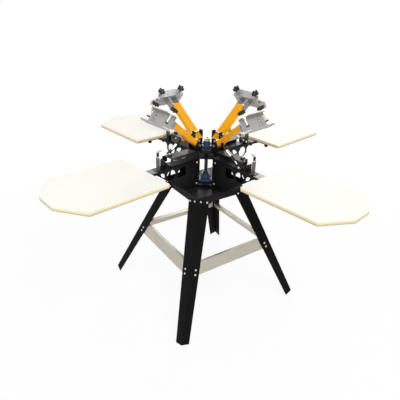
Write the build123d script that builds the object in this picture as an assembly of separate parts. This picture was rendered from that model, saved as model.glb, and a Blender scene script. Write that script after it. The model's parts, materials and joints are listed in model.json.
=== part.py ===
"""Four-station carousel screen printing press on a splayed steel stand.

Millimetres, +Z up, origin on the floor under the centre shaft. Station 1 lies
along +X and the others follow at quarter turns. Each station has a pallet arm
on the lower carousel and, above it, a lifting print head on the upper one.
"""
from math import atan2, cos, degrees, hypot, radians, sin, sqrt

from build123d import *
import os

os.makedirs("parts", exist_ok=True)

# ---------------------------------------------------------------- shared sizes
STATIONS = 4
STATION_STEP = 360.0 / STATIONS
REST_GAP = 0.2              # daylight left between a stop and what rests on it
RUN_CLEARANCE = 0.05        # radial, pins and shaft in their bores

# Stand
STAND_TURN = -9.06          # the stand sits slightly turned under the arms
TABLE_TOP_Z = 725.0
TABLE_SHEET = 4.0
APRON_DROP = 35.0
APRON_SHEET = 3.0
FOLD_REF_Z = 693.0          # height at which the leg fold radius is given
FOLD_REF_RADIUS = 247.6
LEG_SPLAY = 27.0            # degrees from vertical, along the fold
LEG_SHEET = 4.0
LEG_TOP_WIDTH = 77.0
LEG_FOOT_WIDTH = 49.3
LEG_TOP_BELOW_TABLE = 2.0
TABLE_HOLE_RADIUS = 14.0
BRACE_TOP_Z = 403.0
BRACE_BOTTOM_Z = 338.0
BRACE_SHEET = 3.0
BRACE_FLANGE = 24.0
BRACE_END_INSET = 15.0      # from the leg fold to the end of the brace
BOLT_HEAD_RADIUS = 6.0
BOLT_HEAD_HEIGHT = 4.5
TOP_BOLT_ROWS = (21.0, 62.0)    # from the fold, across the leg
TOP_BOLT_DROP = 9.5             # below the top end of the leg
BRACE_BOLT_ROW = 38.0
BRACE_BOLT_Z = (371.0, 348.0)

# Shaft
SHAFT_RADIUS = 10.0
SHAFT_TOP_Z = 998.0
SHAFT_FOOT_RADIUS = 52.0
SHAFT_FOOT_SHEET = 5.0
SHAFT_SHOULDER_RADIUS = 17.0
SHAFT_COLLAR_RADIUS = 16.0
SHAFT_COLLAR_HEIGHT = 12.0
NUT_ACROSS_FLATS = 30.0
NUT_HEIGHT = 14.0
NUT_WASHER_RADIUS = 18.0
NUT_WASHER_HEIGHT = 3.0

# Lower carousel
TABLE_GAP = 8.0             # daylight between table and carousel base
BASE_SHEET = 7.0
HUB_SIDE = 150.0            # square hub plates, corners along the arms
HUB_BORE_GAP = 2.0
ARM_WIDTH = 54.0
ARM_SHEET = 3.0
ARM_INNER_R = 80.0
ARM_TOP_Z = 897.0
ARM_COVER_R = 107.0         # the arm's top wall starts outside the hub cap
ARM_TONGUE_DEPTH = 15.0
ARM_TONGUE_END_R = 700.0
ARM_HEEL_R = 186.0          # the web's lower edge leaves the base plate here
ARM_BELLY_R = 286.0
ARM_BELLY_DEPTH = 82.0
ARM_SHOULDER_R = 366.0
ARM_SHOULDER_DEPTH = 22.0
TAB_WIDTH = 24.0
TAB_HEIGHT = 30.0
TAB_INNER_R = 82.0
D_HOLE_INNER_R = 177.0
D_HOLE_OUTER_R = 241.0
D_HOLE_TOP_DEPTH = 13.0
D_HOLE_HEIGHT = 56.0
ROUND_HOLE_R = 280.0
ROUND_HOLE_DEPTH = 42.0
ROUND_HOLE_RADIUS = 30.0
OPEN_HOLE_R = 343.5
OPEN_HOLE_DEPTH = 37.0
OPEN_HOLE_RADIUS = 22.0
CAP_SHEET = 4.0
HUB_BOLT_R = 97.0
HUB_BOLT_INSET = 15.0       # from the web's lower and upper edges
LOWER_FLANGE_SIDE = 78.0
LOWER_FLANGE_HEIGHT = 12.0
LOWER_HUB_RADIUS = 30.0
LOWER_HUB_HEIGHT = 33.0
LOWER_COLLAR_RADIUS = 17.0
LOWER_COLLAR_HEIGHT = 12.0
BEARING_BOLT_INSET = 11.0
BEARING_BOLT_FLATS = 10.0

# Registration post on each pallet arm
GATE_POST_GAP = 39.0        # from the gate to the post
POST_SHEET = 4.0
POST_WIDTH = 26.0
POST_TOP_Z = 963.0
POST_FOOT_LENGTH = 20.0
POST_WASHER_HEIGHT = 6.0
SLEEVE_RADIUS = 6.5
SLEEVE_HEIGHT = 24.0
NOSE_RADIUS = 6.0           # round nose lying across the sleeve, pointing inwards
NOSE_REACH_IN = 20.5
NOSE_REACH_OUT = 1.5
GATE_GAP = 25.0             # from the outrigger's end to the gate
GATE_SHEET = 4.0
GATE_HEIGHT = 36.0
GATE_FOOT = 22.0

# Pallets
PALLET_HALF_WIDTH = 203.0
PALLET_POST_GAP = 68.4      # from the post to the unshifted pallet's inner edge
PALLET_SIDE_END_R = 832.2
PALLET_TIP_R = 922.95
PALLET_TIP_HALF_WIDTH = 61.6
PALLET_THICKNESS = 18.0
PALLET_CORNER = 12.0
PALLET_EDGE_ROUND = 1.5
PALLET_SHIFTS = (18.0, -11.5, -31.4, 15.3)   # set positions along the tongues
BRACKET_SHEET = 4.0
BRACKET_REACH = 116.0
BRACKET_DEPTH = 40.0
BRACKET_LIP = 15.0          # turned down beside the tongue
BRACKET_SET_BACK = 2.0
TONGUE_PLAY = 0.5
PALLET_KNOB_T = 102.0
PALLET_KNOB_IN = 14.0
PALLET_KNOB_RADIUS = 11.0
PALLET_KNOB_HEIGHT = 11.0
KNOB_STUD_RADIUS = 4.0
KNOB_STUD_LENGTH = 4.0

# Upper carousel
TURRET_BOTTOM_Z = 928.0
TURRET_SHEET = 19.0
TURRET_RADIUS = 75.0
OUTRIGGER_DEPTH = 46.0
OUTRIGGER_WIDTH = 54.0
OUTRIGGER_SHEET = 3.0
OUTRIGGER_TONGUE_R = 52.0
OUTRIGGER_INNER_R = 80.0
OUTRIGGER_END_IN = 5.0      # the beam stops short of the strut's lower pivot
OUTRIGGER_SLOTS = ((178.0, 207.0), (233.0, 265.0))
OUTRIGGER_SLOT_HEIGHT = 9.0
OUTRIGGER_SLOT_DEPTH = 16.0
STOP_POST_R = 268.0
STOP_POST_SIZE = 18.0
UPPER_FLANGE_SIDE = 66.0
UPPER_FLANGE_HEIGHT = 10.0
UPPER_HUB_RADIUS = 25.0
UPPER_HUB_HEIGHT = 17.0
UPPER_COLLAR_RADIUS = 16.0
UPPER_COLLAR_HEIGHT = 6.0
CLEVIS_INNER_R = 66.0
CLEVIS_OUTER_R = 110.0
CLEVIS_SHEET = 3.0
CLEVIS_GAP = 54.0
CLEVIS_HEIGHT = 68.0
CLEVIS_STEP_R = 98.0
CLEVIS_STEP_DROP = 20.0

# Print head, along the arm from its pivot
PIVOT_R = 86.5
PIVOT_Z = 980.0
PIVOT_RADIUS = 5.0
RAISE_ANGLE = 41.0          # against the stop bolt
REST_LIFTS = (41.0, 41.0, 38.0, 41.0)    # how far up each strut holds its arm
TUBE_WIDTH = 50.0
TUBE_DEPTH = 25.0
TUBE_WALL = 2.5
TUBE_STUB = 24.0
TUBE_END_GAP = 22.5         # from the tube's end to the post's axis
STOP_PIN_RADIUS = 4.5
STOP_PIN_R = 91.0
GUSSET_START = 56.0
GUSSET_END = 88.0
GUSSET_SHEET = 3.0
GUSSET_DROP = 27.0
FORK_TAIL = 38.5            # from the post's axis back along the tube
FORK_PLATE_GAP = 24.5       # from the post's axis to the end plate
FORK_SHEET = 4.0
FORK_CHEEK = 5.0
FORK_BELOW = 30.0
FORK_ABOVE = 10.0
FORK_BOLTS = ((31.5, -1.0), (18.5, -12.0))   # back from the post's axis, height
FORK_BOLT_FLATS = 11.0
FORK_BOLT_HEIGHT = 4.0
GUIDE_SCREW_RADIUS = 4.0
GUIDE_SCREW_END = 42.0
GUIDE_GAP = 0.3
CLAMP_SHEET = 4.0
CLAMP_HALF_WIDTH = 88.0
CLAMP_TOP = 16.5
CLAMP_THROAT_BOTTOM = -57.0
CLAMP_TOP_DEPTH = 44.0
CLAMP_TOP_TIP = 62.0
CLAMP_TOP_SHOULDER = 22.0
CLAMP_LOW_DEPTH = 48.0
CLAMP_EAR = 115.0
CLAMP_EAR_OUT = 24.0
CLAMP_SLOT_T = 50.0
CLAMP_SLOT_WIDTH = 9.0
CLAMP_SLOT_LENGTH = 34.0
CLAMP_SLOT_N = -17.0
SCREW_OUT = 26.0            # from the back of the clamp
SCREW_T = 72.0
SCREW_RADIUS = 4.0
SCREW_NUT_RADIUS = 7.5
SCREW_NUT_HEIGHT = 8.0
PAD_RADIUS = 9.0
PAD_HEIGHT = 6.0
PAD_GAP = 22.0              # free height under the pad
KNOB_N = 38.5
KNOB_THICKNESS = 13.0
KNOB_RADIUS = 13.0
KNOB_LOBES = 5
KNOB_LOBE_RADIUS = 6.5
KNOB_LOBE_OFFSET = 14.0
KNOB_BOSS_RADIUS = 8.0
KNOB_BOSS_HEIGHT = 3.0

# Gas strut beside each print arm
STRUT_T = -40.0
STRUT_UPPER_S = 72.0
STRUT_UPPER_N = -21.5
STRUT_LOWER_R = 286.0
STRUT_LOWER_Z = 923.0
STRUT_BODY_RADIUS = 8.5
STRUT_BODY_LENGTH = 100.0
STRUT_ROD_RADIUS = 4.0
STRUT_EYE_RADIUS = 8.0
STRUT_EYE_WIDTH = 8.0
STRUT_NECK_RADIUS = 3.6     # slimmer than the eye is wide
STRUT_BODY_START = 16.0     # neck long enough to turn past the end of the arm's stud
STRUT_FREE_ROD = 60.0       # rod length kept inside the cylinder at rest
STRUT_PIN_RADIUS = 4.0
STUD_GAP = 0.3              # the arm's stud stops short of the upper eye
LUG_SHEET = 3.0
LUG_BACK = 23.0

# ------------------------------------------------------------- derived levels
BASE_BOTTOM_Z = TABLE_TOP_Z + TABLE_GAP
BASE_TOP_Z = BASE_BOTTOM_Z + BASE_SHEET
TURRET_TOP_Z = TURRET_BOTTOM_Z + TURRET_SHEET
OUTRIGGER_TOP_Z = TURRET_TOP_Z + OUTRIGGER_SHEET
PALLET_TOP_Z = ARM_TOP_Z + PALLET_THICKNESS
UPPER_BEARING_TOP_Z = TURRET_TOP_Z + UPPER_FLANGE_HEIGHT + UPPER_HUB_HEIGHT + UPPER_COLLAR_HEIGHT
OUTRIGGER_END_R = STRUT_LOWER_R - OUTRIGGER_END_IN
GATE_R = OUTRIGGER_END_R + GATE_GAP
POST_R = GATE_R + GATE_POST_GAP
PALLET_INNER_R = POST_R + PALLET_POST_GAP
POST_S = POST_R - PIVOT_R       # the post's axis along a lowered arm
TUBE_REACH = POST_S - TUBE_END_GAP
FORK_PLATE_S = POST_S + FORK_PLATE_GAP
CLAMP_S = FORK_PLATE_S + FORK_SHEET
CLAMP_FACE_S = CLAMP_S + CLAMP_SHEET


# -------------------------------------------------------------------- helpers
def block(x, y, z):
    """Box from three (low, high) pairs."""
    size = [high - low for low, high in (x, y, z)]
    middle = [(high + low) / 2 for low, high in (x, y, z)]
    return Pos(*middle) * Box(*size)


def rod(start, end, radius):
    """Round bar between two points."""
    a, b = Vector(*start), Vector(*end)
    plane = Plane(origin=a, z_dir=b - a)
    return extrude(plane * Circle(radius), amount=(b - a).length)


def prism(plane, points, amount):
    """Extrude a polygon given in the plane's own coordinates."""
    return extrude(plane * make_face(Polyline(*points, close=True)), amount=amount)


def hex_bar(start, end, across_flats):
    a, b = Vector(*start), Vector(*end)
    plane = Plane(origin=a, z_dir=b - a)
    face = RegularPolygon(across_flats / sqrt(3), 6)
    return extrude(plane * face, amount=(b - a).length)


def bolt_head(seat, direction, radius=BOLT_HEAD_RADIUS, height=BOLT_HEAD_HEIGHT):
    """Domed head standing on its seat."""
    a, d = Vector(*seat), Vector(*direction).normalized()
    head = rod(a, a + d * height, radius)
    top = head.faces().sort_by(lambda f: (f.center() - a).dot(d))[-1]
    return chamfer(top.edges(), height * 0.45)


def station(shape, number):
    """Turn a station-1 shape to the given station."""
    return Rot(0, 0, STATION_STEP * (number - 1)) * shape


def all_stations(make):
    return [station(make(), number) for number in range(1, STATIONS + 1)]


def save(name, shapes):
    """Write one node, as one solid or a group of separate solids."""
    solids = []
    for shape in shapes if isinstance(shapes, (list, tuple)) else [shapes]:
        solids += shape.solids()
    node = solids[0] if len(solids) == 1 else Compound(children=solids)
    node.label = name
    export_step(node, f"parts/{name}.step")


# ---------------------------------------------------------------------- stand
FOLD_SLOPE = -sin(radians(LEG_SPLAY)) / cos(radians(LEG_SPLAY))


def fold_radius(z):
    return FOLD_REF_RADIUS + (z - FOLD_REF_Z) * FOLD_SLOPE


class LegFace:
    """One sloping face of the stand, seen from one of its two legs.

    The plane's x runs across the leg away from the fold, its y up the fold,
    and its normal points out of the stand.
    """

    def __init__(self, leg_turn, side):
        turn = radians(leg_turn)
        out = Vector(cos(turn), sin(turn), 0)
        splay = radians(LEG_SPLAY)
        self.down = out * sin(splay) + Vector(0, 0, -cos(splay))
        edge = Vector(cos(turn + side * radians(135)), sin(turn + side * radians(135)), 0)
        across = edge - self.down * edge.dot(self.down)
        self.across = across.normalized()
        normal = self.across.cross(self.down * -1)
        self.flip = 1 if normal.dot(out) > 0 else -1
        self.normal = normal * self.flip
        self.anchor = out * FOLD_REF_RADIUS + Vector(0, 0, FOLD_REF_Z)

    def point(self, across, down, depth=0.0):
        return self.anchor + self.across * across + self.down * down - self.normal * depth

    def down_at(self, z, across=0.0):
        """Distance down the fold at which a point across the face has height z."""
        return (FOLD_REF_Z + self.across.Z * across - z) / cos(radians(LEG_SPLAY))

    def plate(self, points, depth, sheet):
        """Sheet with the given (across, down) outline, its outer skin at a depth."""
        outline = Polyline(*[self.point(a, d, depth) for a, d in points], close=True)
        return extrude(make_face(outline), amount=sheet, dir=self.normal * -1)


def pyramid(z_low, z_high, inset):
    """Solid between the sloping faces, inset horizontally."""
    sections = []
    for z in (z_low, z_high):
        side = 2 * (fold_radius(z) / sqrt(2) - inset)
        sections.append(Plane.XY.offset(z) * Rot(0, 0, STAND_TURN) * Rectangle(side, side))
    return loft(sections)


def face_slope():
    """Horizontal offset of a sloping face per millimetre of sheet."""
    lean = atan2(-FOLD_SLOPE / sqrt(2), 1)
    return 1 / cos(lean)


def table_plate():
    low, high = TABLE_TOP_Z - APRON_DROP, TABLE_TOP_Z
    skin = LEG_SHEET * face_slope()
    outer = pyramid(low, high, skin)
    inner = pyramid(low - 1, high, skin + APRON_SHEET * face_slope())
    span = fold_radius(low)
    inner -= block((-span, span), (-span, span), (high - TABLE_SHEET, high + 1))
    bore = rod((0, 0, low), (0, 0, high), TABLE_HOLE_RADIUS)
    return outer - inner - bore


def leg(number):
    turn = STAND_TURN + 45 + 90 * (number - 1)
    plates = []
    for side in (-1, 1):
        face = LegFace(turn, side)
        top = face.down_at(TABLE_TOP_Z - LEG_TOP_BELOW_TABLE)
        foot = face.down_at(LEG_SHEET * face.normal.Z, LEG_FOOT_WIDTH)
        round_off = 10.0
        plates.append(face.plate(
            [(0, top), (LEG_TOP_WIDTH - round_off, top), (LEG_TOP_WIDTH, top + round_off),
             (LEG_FOOT_WIDTH, foot), (0, foot)], 0, LEG_SHEET))
    return plates[0] + plates[1]


def brace(number):
    """Angle-section bar behind the flanges of two neighbouring legs."""
    turn = STAND_TURN + 90 * (number - 1)
    slope = atan2(-FOLD_SLOPE / sqrt(2), 1)
    apothem = fold_radius(BRACE_TOP_Z) / sqrt(2) - LEG_SHEET * face_slope()
    height = (BRACE_TOP_Z - BRACE_BOTTOM_Z) / cos(slope)
    top_half = fold_radius(BRACE_TOP_Z) / sqrt(2) - BRACE_END_INSET
    low_half = fold_radius(BRACE_BOTTOM_Z) / sqrt(2) - BRACE_END_INSET
    # face plane: x along the brace, y down the slope, z into the stand
    origin = Vector(apothem, 0, BRACE_TOP_Z)
    plane = Plane(origin=origin, x_dir=(0, 1, 0), z_dir=(-cos(slope), 0, -sin(slope)))
    sign = 1 if plane.y_dir.Z < 0 else -1
    web = prism(plane, [(-top_half, 0), (top_half, 0), (low_half, sign * height),
                        (-low_half, sign * height)], BRACE_SHEET)
    tip = top_half - BRACE_FLANGE - BRACE_SHEET
    flange_plane = Plane(origin=origin, x_dir=(0, 1, 0), z_dir=plane.y_dir * sign)
    into = flange_plane.y_dir.dot(plane.z_dir)
    into = 1 if into > 0 else -1
    flange = prism(flange_plane, [(-top_half, 0), (top_half, 0), (tip, into * BRACE_FLANGE),
                                  (-tip, into * BRACE_FLANGE)], BRACE_SHEET)
    return Rot(0, 0, turn) * (web + flange)


def stand_bolts():
    heads = []
    for number in range(1, 5):
        for side in (-1, 1):
            face = LegFace(STAND_TURN + 45 + 90 * (number - 1), side)
            top = face.down_at(TABLE_TOP_Z - LEG_TOP_BELOW_TABLE) + TOP_BOLT_DROP
            spots = [(row, top) for row in TOP_BOLT_ROWS]
            spots += [(BRACE_BOLT_ROW, face.down_at(z, BRACE_BOLT_ROW)) for z in BRACE_BOLT_Z]
            for across, down in spots:
                heads.append(bolt_head(face.point(across, down), face.normal))
    return heads


def shaft():
    foot_top = TABLE_TOP_Z + SHAFT_FOOT_SHEET
    body = rod((0, 0, TABLE_TOP_Z), (0, 0, foot_top), SHAFT_FOOT_RADIUS)
    body += rod((0, 0, TABLE_TOP_Z), (0, 0, BASE_TOP_Z), SHAFT_SHOULDER_RADIUS)
    body += rod((0, 0, TABLE_TOP_Z - 20), (0, 0, SHAFT_TOP_Z), SHAFT_RADIUS)
    collar_low = TURRET_BOTTOM_Z - SHAFT_COLLAR_HEIGHT
    body += rod((0, 0, collar_low), (0, 0, TURRET_BOTTOM_Z), SHAFT_COLLAR_RADIUS)
    return body


def shaft_nut():
    low = UPPER_BEARING_TOP_Z
    washer = rod((0, 0, low), (0, 0, low + NUT_WASHER_HEIGHT), NUT_WASHER_RADIUS)
    nut = hex_bar((0, 0, low + NUT_WASHER_HEIGHT),
                  (0, 0, low + NUT_WASHER_HEIGHT + NUT_HEIGHT), NUT_ACROSS_FLATS)
    bore = rod((0, 0, low - 1), (0, 0, SHAFT_TOP_Z + 20), SHAFT_RADIUS)
    return (washer + nut) - bore


# ------------------------------------------------------------- lower carousel
def hub_square(z_low, z_high):
    """Square hub plate with its corners pointing along the arms."""
    return extrude(Plane.XY.offset(z_low) * Rot(0, 0, 45) * Rectangle(HUB_SIDE, HUB_SIDE),
                   amount=z_high - z_low)


def hub_tabs(z_low, z_high):
    """Tabs standing inside the webs of every arm."""
    outer = ARM_WIDTH / 2 - ARM_SHEET
    tabs = []
    for sign in (-1, 1):
        t_pair = sorted((sign * outer, sign * (outer - ARM_SHEET)))
        tabs.append(block((TAB_INNER_R, TAB_INNER_R + TAB_WIDTH), t_pair, (z_low, z_high)))
    return [station(tab, n) for tab in tabs for n in range(1, STATIONS + 1)]


def carousel_base():
    plate = hub_square(BASE_BOTTOM_Z, BASE_TOP_Z)
    for tab in hub_tabs(BASE_TOP_Z - BASE_SHEET, BASE_TOP_Z + TAB_HEIGHT):
        plate += tab
    bore = rod((0, 0, BASE_BOTTOM_Z - 1), (0, 0, BASE_TOP_Z + 1),
               SHAFT_SHOULDER_RADIUS + HUB_BORE_GAP)
    return plate - bore


def carousel_cap():
    plate = hub_square(ARM_TOP_Z, ARM_TOP_Z + CAP_SHEET)
    for tab in hub_tabs(ARM_TOP_Z - TAB_HEIGHT, ARM_TOP_Z + CAP_SHEET):
        plate += tab
    bore = rod((0, 0, ARM_TOP_Z - 1), (0, 0, ARM_TOP_Z + CAP_SHEET + 1),
               SHAFT_RADIUS + RUN_CLEARANCE)
    return plate - bore


def flange_bearing(z_low, side, flange_height, hub_radius, hub_height,
                   collar_radius, collar_height):
    """Four-bolt flange housing running on the shaft."""
    flange = extrude(Plane.XY.offset(z_low) * Rot(0, 0, 45) * RectangleRounded(side, side, 9),
                     amount=flange_height)
    flange = chamfer(flange.faces().sort_by(Axis.Z)[-1].edges(), 2)
    z_hub = z_low + flange_height
    hub = loft([Plane.XY.offset(z_hub) * Circle(hub_radius),
                Plane.XY.offset(z_hub + hub_height) * Circle(hub_radius * 0.8)])
    z_collar = z_hub + hub_height
    collar = rod((0, 0, z_collar), (0, 0, z_collar + collar_height), collar_radius)
    bore = rod((0, 0, z_low - 1), (0, 0, z_collar + collar_height + 1),
               SHAFT_RADIUS + RUN_CLEARANCE)
    nipple_z = z_hub + hub_height * 0.35
    nipple = rod((0, 0, nipple_z), (hub_radius + 6, 0, nipple_z), 3)
    nipple = Rot(0, 0, -45) * nipple
    return (flange + hub + collar + nipple) - bore


def lower_bearing():
    return flange_bearing(BASE_TOP_Z, LOWER_FLANGE_SIDE, LOWER_FLANGE_HEIGHT,
                          LOWER_HUB_RADIUS, LOWER_HUB_HEIGHT,
                          LOWER_COLLAR_RADIUS, LOWER_COLLAR_HEIGHT)


def pallet_arm():
    """Folded channel: two pierced webs under one top wall, narrowing to a tongue."""
    tongue_z = ARM_TOP_Z - ARM_TONGUE_DEPTH
    outline = [(ARM_INNER_R, BASE_TOP_Z), (ARM_HEEL_R, BASE_TOP_Z),
               (ARM_BELLY_R, ARM_TOP_Z - ARM_BELLY_DEPTH),
               (ARM_SHOULDER_R, ARM_TOP_Z - ARM_SHOULDER_DEPTH),
               (ARM_SHOULDER_R + 12, tongue_z), (ARM_TONGUE_END_R, tongue_z),
               (ARM_TONGUE_END_R, ARM_TOP_Z), (ARM_INNER_R, ARM_TOP_Z)]
    half = ARM_WIDTH / 2
    side = Plane(origin=(0, half, 0), x_dir=(1, 0, 0), z_dir=(0, -1, 0))
    body = prism(side, outline, ARM_WIDTH)
    inside = half - ARM_SHEET
    body -= block((0, ARM_TONGUE_END_R + 1), (-inside, inside),
                  (BASE_TOP_Z - 1, ARM_TOP_Z - ARM_SHEET))
    body -= block((0, ARM_COVER_R), (-inside, inside), (BASE_TOP_Z - 1, ARM_TOP_Z + 1))
    return body - web_holes(side)


def web_holes(side):
    """D-shaped, round and open holes cut through both webs."""
    top = ARM_TOP_Z - D_HOLE_TOP_DEPTH
    low = top - D_HOLE_HEIGHT
    span = D_HOLE_OUTER_R - D_HOLE_INNER_R
    d_shape = Polyline((D_HOLE_INNER_R, low), (D_HOLE_INNER_R, top - 6),
                       (D_HOLE_INNER_R + 6, top), (D_HOLE_INNER_R + span * 0.4, top))
    curve = ThreePointArc((D_HOLE_INNER_R + span * 0.4, top),
                          (D_HOLE_INNER_R + span * 0.85, top - D_HOLE_HEIGHT * 0.35),
                          (D_HOLE_OUTER_R, low))
    base = Line((D_HOLE_OUTER_R, low), (D_HOLE_INNER_R, low))
    holes = extrude(side * make_face(Curve() + [d_shape, curve, base]), amount=ARM_WIDTH)
    for r, depth, radius in ((ROUND_HOLE_R, ROUND_HOLE_DEPTH, ROUND_HOLE_RADIUS),
                             (OPEN_HOLE_R, OPEN_HOLE_DEPTH, OPEN_HOLE_RADIUS)):
        z = ARM_TOP_Z - depth
        holes += rod((r, -ARM_WIDTH, z), (r, ARM_WIDTH, z), radius)
    slot_low = ARM_TOP_Z - OPEN_HOLE_DEPTH - OPEN_HOLE_RADIUS * 2
    holes += block((OPEN_HOLE_R - OPEN_HOLE_RADIUS, OPEN_HOLE_R + OPEN_HOLE_RADIUS),
                   (-ARM_WIDTH, ARM_WIDTH), (slot_low, ARM_TOP_Z - OPEN_HOLE_DEPTH))
    return holes


def arm_posts():
    """Bent flat-bar post and, further in, the gate plate of one arm."""
    half = POST_WIDTH / 2
    inner, outer = POST_R - POST_SHEET / 2, POST_R + POST_SHEET / 2
    post = block((inner, outer), (-half, half), (ARM_TOP_Z, POST_TOP_Z))
    post += block((inner, outer + POST_FOOT_LENGTH), (-half, half),
                  (ARM_TOP_Z, ARM_TOP_Z + POST_SHEET))
    width = ARM_WIDTH / 2
    gate = block((GATE_R, GATE_R + GATE_SHEET), (-width, width),
                 (ARM_TOP_Z, ARM_TOP_Z + GATE_HEIGHT))
    gate += block((GATE_R, GATE_R + GATE_FOOT), (-width, width),
                  (ARM_TOP_Z, ARM_TOP_Z + GATE_SHEET))
    return post, gate


def post_roller():
    """Washer, black sleeve and round nose screwed on top of a post."""
    sleeve_low = POST_TOP_Z + POST_WASHER_HEIGHT
    sleeve_top = sleeve_low + SLEEVE_HEIGHT
    stack = rod((POST_R, 0, POST_TOP_Z), (POST_R, 0, sleeve_low), SLEEVE_RADIUS * 0.8)
    stack += rod((POST_R, 0, sleeve_low), (POST_R, 0, sleeve_top), SLEEVE_RADIUS)
    nose_z = sleeve_top + NOSE_RADIUS * 0.75
    nose = rod((POST_R - NOSE_REACH_IN, 0, nose_z), (POST_R + NOSE_REACH_OUT, 0, nose_z),
               NOSE_RADIUS)
    ends = nose.edges().filter_by(GeomType.CIRCLE)
    return stack + fillet(ends, NOSE_RADIUS * 0.4)


def hub_bolts():
    """Web bolts of the arms, then the four bolts of the lower bearing."""
    heads = []
    for number in range(1, STATIONS + 1):
        for sign in (-1, 1):
            for z in (BASE_TOP_Z + HUB_BOLT_INSET, ARM_TOP_Z - HUB_BOLT_INSET):
                seat = (HUB_BOLT_R, sign * ARM_WIDTH / 2, z)
                heads.append(station(bolt_head(seat, (0, sign, 0)), number))
    reach = LOWER_FLANGE_SIDE / 2 - BEARING_BOLT_INSET
    seat = Rot(0, 0, 45) * Pos(reach, reach, 0)
    for number in range(STATIONS):
        turn = Rot(0, 0, 90 * number)
        spot = (turn * seat).position + Vector(0, 0, BASE_TOP_Z + LOWER_FLANGE_HEIGHT)
        heads.append(hex_bar(spot, spot + Vector(0, 0, BOLT_HEAD_HEIGHT), BEARING_BOLT_FLATS))
    return heads


# -------------------------------------------------------------------- pallets
def pallet(shift):
    half, tip = PALLET_HALF_WIDTH, PALLET_TIP_HALF_WIDTH
    outline = [(PALLET_INNER_R, -half), (PALLET_SIDE_END_R, -half), (PALLET_TIP_R, -tip),
               (PALLET_TIP_R, tip), (PALLET_SIDE_END_R, half), (PALLET_INNER_R, half)]
    board = prism(Plane.XY.offset(ARM_TOP_Z), outline, PALLET_THICKNESS)
    board = fillet(board.edges().filter_by(Axis.Z), PALLET_CORNER)
    board = chamfer(board.faces().sort_by(Axis.Z)[-1].edges(), PALLET_EDGE_ROUND)
    return Pos(shift, 0, 0) * board


def pallet_clamp(shift):
    """Angle bars under the board, either side of the tongue, with hanging hand knobs."""
    back = PALLET_INNER_R + BRACKET_SET_BACK
    near = ARM_WIDTH / 2 + TONGUE_PLAY
    pieces = []
    for sign in (-1, 1):
        depth = (back, back + BRACKET_DEPTH)
        bar = block(depth, sorted((sign * near, sign * BRACKET_REACH)),
                    (ARM_TOP_Z - BRACKET_SHEET, ARM_TOP_Z))
        bar += block(depth, sorted((sign * near, sign * (near + BRACKET_SHEET))),
                     (ARM_TOP_Z - BRACKET_LIP, ARM_TOP_Z))
        r, t = PALLET_INNER_R + PALLET_KNOB_IN, sign * PALLET_KNOB_T
        top = ARM_TOP_Z - BRACKET_SHEET
        knob_top = top - KNOB_STUD_LENGTH
        knob = rod((r, t, knob_top - PALLET_KNOB_HEIGHT), (r, t, knob_top), PALLET_KNOB_RADIUS)
        knob = chamfer(knob.faces().sort_by(Axis.Z)[0].edges(), 2)
        pieces += [bar, knob + rod((r, t, knob_top), (r, t, top), KNOB_STUD_RADIUS)]
    return [Pos(shift, 0, 0) * piece for piece in pieces]


# ------------------------------------------------------------- upper carousel
def turret_disc():
    disc = rod((0, 0, TURRET_BOTTOM_Z), (0, 0, TURRET_TOP_Z), TURRET_RADIUS)
    disc = chamfer(disc.faces().sort_by(Axis.Z)[-1].edges(), 1.5)
    return disc - rod((0, 0, TURRET_BOTTOM_Z - 1), (0, 0, TURRET_TOP_Z + 1),
                      SHAFT_RADIUS + RUN_CLEARANCE)


def upper_bearing():
    return flange_bearing(TURRET_TOP_Z, UPPER_FLANGE_SIDE, UPPER_FLANGE_HEIGHT,
                          UPPER_HUB_RADIUS, UPPER_HUB_HEIGHT,
                          UPPER_COLLAR_RADIUS, UPPER_COLLAR_HEIGHT)


def outrigger():
    """Channel open to one side, with a stop post and the strut's lower lug."""
    half = OUTRIGGER_WIDTH / 2
    low = OUTRIGGER_TOP_Z - OUTRIGGER_DEPTH
    sheet = OUTRIGGER_SHEET
    beam = block((OUTRIGGER_TONGUE_R, OUTRIGGER_END_R), (-half, half),
                 (OUTRIGGER_TOP_Z - sheet, OUTRIGGER_TOP_Z))
    beam += block((OUTRIGGER_INNER_R, OUTRIGGER_END_R), (half - sheet, half),
                  (low, OUTRIGGER_TOP_Z))
    beam += block((OUTRIGGER_INNER_R, OUTRIGGER_END_R), (-half, half), (low, low + sheet))
    slot_z = OUTRIGGER_TOP_Z - OUTRIGGER_SLOT_DEPTH
    for start, end in OUTRIGGER_SLOTS:
        radius = OUTRIGGER_SLOT_HEIGHT / 2
        beam -= block((start + radius, end - radius), (0, half + 1),
                      (slot_z - radius, slot_z + radius))
        for r in (start + radius, end - radius):
            beam -= rod((r, 0, slot_z), (r, half + 1, slot_z), radius)
    lug = block((STRUT_LOWER_R - LUG_BACK, STRUT_LOWER_R + STRUT_EYE_RADIUS),
                (-half - LUG_SHEET, -half),
                (STRUT_LOWER_Z - STRUT_EYE_RADIUS, OUTRIGGER_TOP_Z))
    lug -= rod((STRUT_LOWER_R, -half - 20, STRUT_LOWER_Z), (STRUT_LOWER_R, half, STRUT_LOWER_Z),
               STRUT_PIN_RADIUS)
    size = STOP_POST_SIZE / 2
    top = PIVOT_Z - TUBE_DEPTH / 2 - REST_GAP - BOLT_HEAD_HEIGHT
    post = block((STOP_POST_R - size, STOP_POST_R + size), (-size, size), (OUTRIGGER_TOP_Z, top))
    return beam + lug + post


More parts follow.
